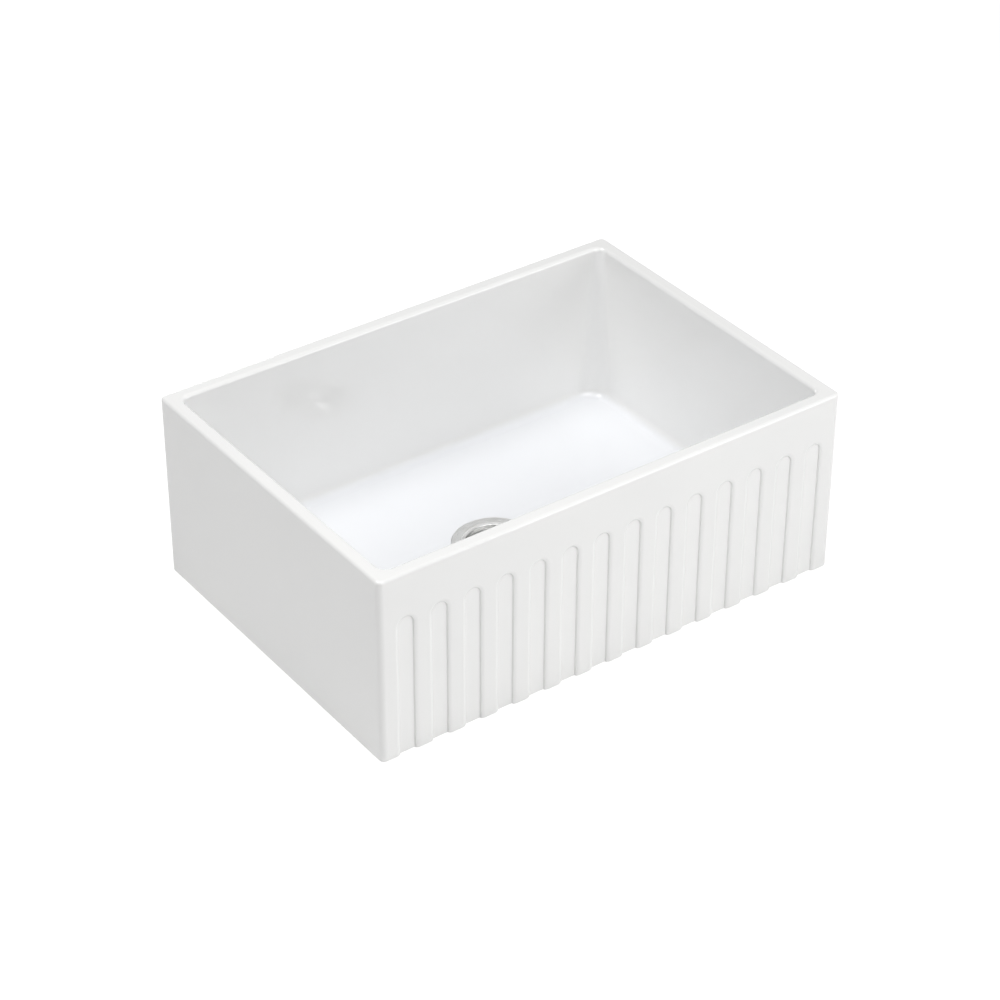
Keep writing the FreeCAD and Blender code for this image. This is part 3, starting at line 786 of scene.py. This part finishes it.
@dataclass
class Waste:
    """The strainer body, what clamps it under the basin, and the outlet below it."""

    finishes: Finishes
    neck_radius: float = 42.5 * MM
    neck_pitch: float = 1.6 * MM
    neck_thread_length: float = 5.0 * MM
    spud_radius: float = 23.4 * MM
    spud_pitch: float = 1.6 * MM
    washer_edge: float = 0.8 * MM
    washer_rib: float = 0.6 * MM
    washer_clearance: float = 0.4 * MM
    nut_lugs: int = 6
    nut_steps: int = 144
    lug_steps: int = 5
    lug_reach: float = 6.0 * MM
    lug_taper: tuple[float, float, float] = (0.9, 0.9, 0.86)
    nut_wall: float = 6.5 * MM
    nut_edge: float = 0.7 * MM
    nut_mouth: float = 1.0 * MM
    pocket_depth: float = 2.2 * MM
    pocket_lip: float = 1.0 * MM
    pocket_half_angle: float = 16.0
    coupling_flats: float = 56.0 * MM
    coupling_shoulder: float = 3.5 * MM
    coupling_edge: float = 0.25 * MM
    tail_bore: float = 20.8 * MM

    def build(self) -> None:
        """Build the threads, the moulded washer and the two nuts."""
        self.cut_threads()
        self.mould_washer()
        self.cast_lock_nut()
        self.machine_coupling_nut()

    def cut_threads(self) -> None:
        """Build the threads that show on the neck and on the outlet."""
        nut_under = span("lock_nut")[0]
        neck_end = nut_under - self.neck_thread_length
        neck = thread("neck_thread", self.neck_radius, neck_end, nut_under, self.neck_pitch)
        self.finishes.fit(neck, Slot.STAINLESS, Body.SINK)
        spud_low = span("coupling_nut")[1]
        spud_high = span("strainer_body")[0]
        spud = thread("spud_thread", self.spud_radius, spud_low, spud_high, self.spud_pitch)
        self.finishes.fit(spud, Slot.BRASS, Body.SINK)
        LOG.info("threads on the neck and the outlet")

    def mould_washer(self) -> None:
        """Build the rubber washer, round at its edge, with a sealing rib below."""
        low, high = span("rubber_washer")
        outer = reach("rubber_washer")
        inner = self.neck_radius + self.washer_clearance
        edge, rib = self.washer_edge, self.washer_rib
        profile = [
            (inner, low + edge),
            (inner + edge, low),
            (outer - 1.7 * MM, low),
            (outer - 1.4 * MM, low - rib),
            (outer - 0.9 * MM, low - rib),
            (outer - 0.6 * MM, low),
            (outer - 0.2 * MM, low + 0.2 * MM),
            (outer, low + edge),
            (outer, high - edge),
            (outer - 0.3 * MM, high - 0.2 * MM),
            (outer - edge, high),
            (inner + edge, high),
            (inner, high - edge),
        ]
        washer = turned("moulded_washer", profile, steps=128)
        self.finishes.fit(washer, Slot.RUBBER, Body.SINK, "rubber_washer")
        LOG.info("moulded washer under the basin")

    def cast_lock_nut(self) -> None:
        """Build the ring nut: chamfered mouths, six drafted lugs and pockets between them."""
        low, high = span("lock_nut")
        bore, mouth = self.neck_radius + THREAD_CLEARANCE, self.nut_mouth
        outer = self.neck_radius + self.nut_wall
        profile = [
            (bore, low + mouth),
            (bore + mouth, low),
            (outer - 1.2 * MM, low),
            (outer, low + 1.2 * MM),
            (outer, low + 4.0 * MM),
            (outer, high - 3.0 * MM),
            (outer, high - 0.8 * MM),
            (outer - 0.8 * MM, high),
            (bore + mouth, high),
            (bore, high - mouth),
        ]
        nut = turned("cast_lock_nut", profile, steps=self.nut_steps)
        pitch = 360 / self.nut_lugs
        half = self.lug_steps * 360 / self.nut_steps / 2
        for index in range(self.nut_lugs):
            middle = pitch * index

            def on_lug(face: bmesh.types.BMFace, middle: float = middle) -> bool:
                """True for an outer face within this lug's width."""
                off = (bearing(face) - middle + 180) % 360 - 180
                return abs(off) < half and faces_out(face, low + 1.2 * MM, high - 0.8 * MM)

            with editing(nut):
                pick_faces(nut, on_lug)
                across, back = math.cos(math.radians(middle)), math.sin(math.radians(middle))
                out = (self.lug_reach * across, self.lug_reach * back, 0)
                bpy.ops.mesh.extrude_region_move(TRANSFORM_OT_translate={"value": out})
                tip = outer + self.lug_reach
                centre = (tip * across, AXIS_Y + tip * back, (low + high) / 2)
                bpy.ops.transform.resize(value=self.lug_taper, center_override=centre)
        with editing(nut):
            pick_faces(nut, lambda face: self.in_pocket(face, pitch, low, high))
            bpy.ops.mesh.inset(
                thickness=self.pocket_lip, depth=-self.pocket_depth, use_even_offset=True
            )
        close_up(nut)
        round_off(nut, self.nut_edge, 40.0)
        smooth(nut, 40.0)
        self.finishes.fit(nut, Slot.NUT_METAL, Body.SINK, "lock_nut")
        LOG.info("cast lock nut with %d lugs", self.nut_lugs)

    def in_pocket(
        self, face: bmesh.types.BMFace, pitch: float, low: float, high: float
    ) -> bool:
        """True for an outer face of the nut's pockets, half way between two lugs.

        Args:
            face: The face to test.
            pitch: The angle from lug to lug.
            low: The nut's lowest level.
            high: The nut's highest level.

        Returns:
            Whether the face is in a pocket.
        """
        off = (bearing(face) + pitch / 2) % pitch
        off = min(off, pitch - off)
        near_ring = distance(face) < self.neck_radius + self.nut_wall + 0.1 * MM
        on_wall = faces_out(face, low + 4.0 * MM, high - 3.0 * MM)
        return off < self.pocket_half_angle and near_ring and on_wall

    def machine_coupling_nut(self) -> None:
        """Build the hexagonal nut that draws the tailpiece up, turned and then cut flat."""
        low, high = span("coupling_nut")
        flats = self.coupling_flats / 2
        corner = flats / math.cos(math.radians(30))
        thread_bore = self.spud_radius + THREAD_CLEARANCE
        profile = [
            (self.tail_bore, low + 0.6 * MM),
            (self.tail_bore + 0.6 * MM, low),
            (flats - 2.4 * MM, low),
            (flats - 1.6 * MM, low + 0.7 * MM),
            (flats - 1.6 * MM, low + 2.2 * MM),
            (flats - 0.2 * MM, low + 2.4 * MM),
            (corner, low + 4.6 * MM),
            (corner, high - 2.4 * MM),
            (flats - 0.3 * MM, high),
            (thread_bore + 1.0 * MM, high),
            (thread_bore, high - 1.0 * MM),
            (thread_bore, low + self.coupling_shoulder),
            (self.tail_bore, low + self.coupling_shoulder),
        ]
        nut = turned("machined_coupling_nut", profile, steps=120)
        flatten(nut, self.coupling_flats)
        close_up(nut)
        round_off(nut, self.coupling_edge, 20.0)
        smooth(nut, 25.0)
        self.finishes.fit(nut, Slot.NUT_METAL, Body.SINK, "coupling_nut")
        LOG.info("machined coupling nut")

    def dress(self) -> None:
        """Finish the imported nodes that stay."""
        self.finishes.dress_nodes(
            flange_gasket=Slot.RUBBER,
            strainer_body=Slot.STAINLESS,
            friction_ring=Slot.FIBRE,
            outlet_spud=Slot.BRASS,
            outlet_cross=Slot.STAINLESS_DARK,
            tailpiece_washer=Slot.NYLON,
            tailpiece=Slot.STAINLESS,
        )


@dataclass
class Basket:
    """The perforated basket and the guide in its floor."""

    finishes: Finishes

    def dress(self) -> None:
        """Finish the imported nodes, which all stay."""
        self.finishes.dress_nodes(
            basket_cup=Slot.STAINLESS,
            guide_bush=Slot.STAINLESS,
            guide_nut=Slot.STAINLESS,
            stem_seal=Slot.RUBBER,
        )


@dataclass
class Stopper:
    """The stem with its knob, plate, rubber plug and nut."""

    finishes: Finishes
    grip_steps: int = 96
    grip_grooves: int = 24
    neck_radius: float = 6.5 * MM
    socket_radius: float = 3.1 * MM
    socket_depth: float = 9.0 * MM
    groove_depth: float = 0.45 * MM
    groove_lip: float = 0.12 * MM
    plug_foot: float = 21.0 * MM
    plug_bore: float = 2.5 * MM

    def build(self) -> None:
        """Build the knob and the rubber plug."""
        self.turn_knob()
        self.mould_plug()

    def turn_knob(self) -> None:
        """Build the knob: a waisted neck, a grooved grip and a domed top with a shallow dish."""
        low, high = span("knob")
        wide = reach("knob")
        neck, socket = self.neck_radius, self.socket_radius
        profile = [
            (socket, low + self.socket_depth),
            (socket, low + 0.4 * MM),
            (socket + 0.4 * MM, low),
            (neck - 0.4 * MM, low),
            (neck, low + 0.4 * MM),
            (neck - 0.5 * MM, low + 2.0 * MM),
            (neck - 0.6 * MM, low + 3.6 * MM),
            (neck - 0.1 * MM, low + 5.0 * MM),
            (neck + 1.6 * MM, low + 6.6 * MM),
            (wide - 0.9 * MM, low + 7.8 * MM),
            (wide - 0.1 * MM, low + 8.5 * MM),
            (wide, low + 9.0 * MM),
            (wide, high - 2.4 * MM),
            (wide - 0.15 * MM, high - 1.9 * MM),
            (wide - 0.9 * MM, high - 1.0 * MM),
            (wide - 2.2 * MM, high - 0.3 * MM),
            (wide - 3.6 * MM, high),
            (wide - 4.4 * MM, high - 0.1 * MM),
            (wide - 6.4 * MM, high - 0.7 * MM),
            (wide - 8.8 * MM, high - 1.0 * MM),
            (wide - 10.6 * MM, high - 1.05 * MM),
        ]
        knob = turned("turned_knob", profile, steps=self.grip_steps, ring=False)
        pitch = 360 / self.grip_grooves
        with editing(knob):
            pick_faces(
                knob,
                lambda face: faces_out(face, low + 9.0 * MM, high - 2.4 * MM)
                and bearing(face) % pitch < pitch / 2,
            )
            bpy.ops.mesh.inset(
                thickness=self.groove_lip, depth=-self.groove_depth, use_even_offset=True
            )
        close_up(knob)
        smooth(knob, 32.0)
        self.finishes.fit(knob, Slot.STAINLESS, Body.STOPPER, "knob")
        LOG.info("turned knob with %d grip grooves", self.grip_grooves)

    def mould_plug(self) -> None:
        """Build the rubber plug: a tapered side with a sealing lip, and ribs below."""
        low, high = span("stopper")
        wide, foot, bore = reach("stopper"), self.plug_foot, self.plug_bore
        profile = [
            (bore, low),
            (9.0 * MM, low),
            (9.6 * MM, low + 0.6 * MM),
            (13.4 * MM, low + 0.6 * MM),
            (14.0 * MM, low),
            (15.2 * MM, low),
            (15.8 * MM, low + 0.6 * MM),
            (18.6 * MM, low + 0.6 * MM),
            (19.2 * MM, low),
            (foot - 0.5 * MM, low),
            (foot, low + 0.3 * MM),
            (foot + 1.3 * MM, low + 1.0 * MM),
            (foot + 1.2 * MM, low + 1.5 * MM),
            (wide - 0.5 * MM, high - 2.3 * MM),
            (wide - 0.1 * MM, high - 1.9 * MM),
            (wide, high - 1.4 * MM),
            (wide - 0.3 * MM, high - 0.6 * MM),
            (wide - 1.0 * MM, high - 0.1 * MM),
            (wide - 1.8 * MM, high),
            (bore, high),
        ]
        plug = turned("moulded_plug", profile)
        self.finishes.fit(plug, Slot.RUBBER, Body.STOPPER, "stopper")
        LOG.info("moulded plug")

    def dress(self) -> None:
        """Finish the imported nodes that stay."""
        self.finishes.dress_nodes(
            stem=Slot.STAINLESS, stopper_plate=Slot.STAINLESS, plug_nut=Slot.BRASS
        )


# ---------------------------------------------------------------- studio


@dataclass(frozen=True)
class Softbox:
    """A square area light aimed at a point."""

    name: str
    place: tuple[float, float, float]
    side: float
    power: float
    target: tuple[float, float, float] = (0.0, 0.0, 0.1)

    def build(self) -> bpy.types.Object:
        """Build the light."""
        lamp = bpy.data.lights.new(self.name, "AREA")
        lamp.shape = "SQUARE"
        lamp.size = self.side
        lamp.energy = self.power
        light = bpy.data.objects.new(self.name, lamp)
        bpy.context.scene.collection.objects.link(light)
        away = Vector(self.place) - Vector(self.target)
        light.location = self.place
        light.rotation_euler = away.to_track_quat("Z", "Y").to_euler()
        return light


@dataclass(frozen=True)
class PhotoCamera:
    """The camera at the photograph's place and angle."""

    place: tuple[float, float, float] = (-1.7692, -2.4373, 2.1659)
    azimuth: float = -35.973
    elevation: float = 34.417
    roll: float = 0.219
    lens: float = 104.53
    sensor: float = 36.0

    def build(self) -> bpy.types.Object:
        """Build the camera and make it the scene's."""
        turn, tilt, roll = (math.radians(a) for a in (self.azimuth, self.elevation, self.roll))
        level = math.cos(tilt)
        ahead = Vector((-math.sin(turn) * level, math.cos(turn) * level, -math.sin(tilt)))
        right = Vector((math.cos(turn), math.sin(turn), 0.0))
        up = right.cross(ahead)
        right, up = (
            right * math.cos(roll) + up * math.sin(roll),
            up * math.cos(roll) - right * math.sin(roll),
        )
        data = bpy.data.cameras.new("photo_camera")
        data.lens = self.lens
        data.sensor_width = self.sensor
        data.clip_start, data.clip_end = 0.05, 60.0
        camera = bpy.data.objects.new("photo_camera", data)
        bpy.context.scene.collection.objects.link(camera)
        axes = Matrix((right, up, -ahead)).transposed().to_4x4()
        camera.matrix_world = Matrix.Translation(self.place) @ axes
        bpy.context.scene.camera = camera
        return camera


@dataclass
class Studio:
    """Pale floor, white surround and soft light."""

    floor_side: float = 40.0
    inner_side: float = 2.0
    hole: tuple[float, float] = (0.683, 0.472)
    floor_level: float = -0.0004
    floor_white: float = 0.82
    seen_white: float = 0.3
    seen_glow: float = 0.86
    surround: float = 0.19
    boxes: tuple[Softbox, ...] = (
        Softbox("top_left_box", (-1.3, 0.3, 2.6), 1.2, 32.4),
        Softbox("top_front_box", (0.0, -1.8, 2.3), 1.6, 27.6),
        Softbox("front_right_box", (1.9, -2.4, 0.8), 1.6, 22.8),
        Softbox("near_box", (-1.4, -1.6, 2.3), 1.2, 5.4),
        Softbox("top_right_box", (2.2, 0.0, 2.2), 1.6, 2.4),
        Softbox("top_box", (0.0, 0.1, 2.6), 0.9, 2.5),
        Softbox("back_box", (0.5, 2.4, 0.4), 0.7, 8.0),
        Softbox("under_box", (0.0, -0.2, -1.6), 1.2, 14.0, (0.0, 0.0, 0.0)),
    )

    def build(self) -> None:
        """Build the floor, the surround and the lights."""
        self.lay_floor()
        self.set_surround()
        for box in self.boxes:
            box.build()

    def seen(self, web: Web) -> bpy.types.NodeSocket:
        """1 for a ray that comes straight from the camera, a mirror or a glass.

        Args:
            web: The node tree that it is built in.

        Returns:
            The value's socket.
        """
        path = web.add("LightPath")
        seen = web.maths("MAXIMUM", path.outputs["Is Camera Ray"], path.outputs["Is Glossy Ray"])
        return web.maths("MAXIMUM", seen, path.outputs["Is Transmission Ray"])

    def lay_floor(self) -> None:
        """Lay the floor, open under the basin where the waste goes through."""
        deselect()
        bpy.ops.mesh.primitive_plane_add(size=self.floor_side, location=(0, 0, self.floor_level))
        floor = bpy.context.object
        floor.name = "studio_floor"
        settle(floor)
        with editing(floor):
            bpy.ops.mesh.select_all(action="SELECT")
            bpy.ops.mesh.inset(thickness=(self.floor_side - self.inner_side) / 2)
            centre = (0, 0, self.floor_level)
            share = (self.hole[0] / self.inner_side, self.hole[1] / self.inner_side, 1)
            bpy.ops.transform.resize(value=share, center_override=centre)
            bpy.ops.mesh.delete(type="FACE")
        web, shader = new_web("studio_white")
        nodes = web.owner.node_tree.nodes
        nodes.remove(shader)
        out = nodes["Material Output"]
        plain = web.add("BsdfDiffuse", in_0=(*(self.floor_white,) * 3, 1))
        shadowed = web.add("BsdfDiffuse", in_0=(*(self.seen_white,) * 3, 1))
        bright = web.add("Emission", in_0=(1, 1, 1, 1), in_1=self.seen_glow)
        both = web.add("AddShader")
        web.join(shadowed.outputs[0], both.inputs[0])
        web.join(bright.outputs[0], both.inputs[1])
        pick = web.add("MixShader")
        web.join(self.seen(web), pick.inputs[0])
        web.join(plain.outputs[0], pick.inputs[1])
        web.join(both.outputs[0], pick.inputs[2])
        clear = web.add("BsdfTransparent")
        under = web.add("MixShader")
        path = web.add("LightPath")
        back = web.add("NewGeometry")
        below = web.maths("MULTIPLY", path.outputs["Is Camera Ray"], back.outputs["Backfacing"])
        web.join(below, under.inputs[0])
        web.join(pick.outputs[0], under.inputs[1])
        web.join(clear.outputs[0], under.inputs[2])
        web.join(under.outputs[0], out.inputs["Surface"])
        floor.data.materials.append(web.owner)

    def set_surround(self) -> None:
        """Surround the scene with even light, white where it is seen."""
        world = bpy.data.worlds.new("surround")
        bpy.context.scene.world = world
        world.use_nodes = True
        shade = world.node_tree.nodes["Background"]
        shade.inputs["Color"].default_value = (1, 1, 1, 1)
        web = Web(world)
        strength = web.between(self.seen(web), 0.0, 1.0, self.surround, 1.0)
        web.join(strength, shade.inputs["Strength"])


def main() -> None:
    """Build and dress every sub-assembly, then the studio."""
    logging.basicConfig(level=logging.INFO, format="%(message)s")
    bpy.context.scene.view_settings.view_transform = "Standard"
    finishes = Finishes().build()
    PhotoCamera().build()
    Studio().build()
    waste, stopper = Waste(finishes), Stopper(finishes)
    waste.build()
    stopper.build()
    for part in (Basin(finishes), waste, Basket(finishes), stopper):
        part.dress()
        LOG.info("dressed %s", type(part).__name__.lower())


if __name__ == "__main__":
    main()
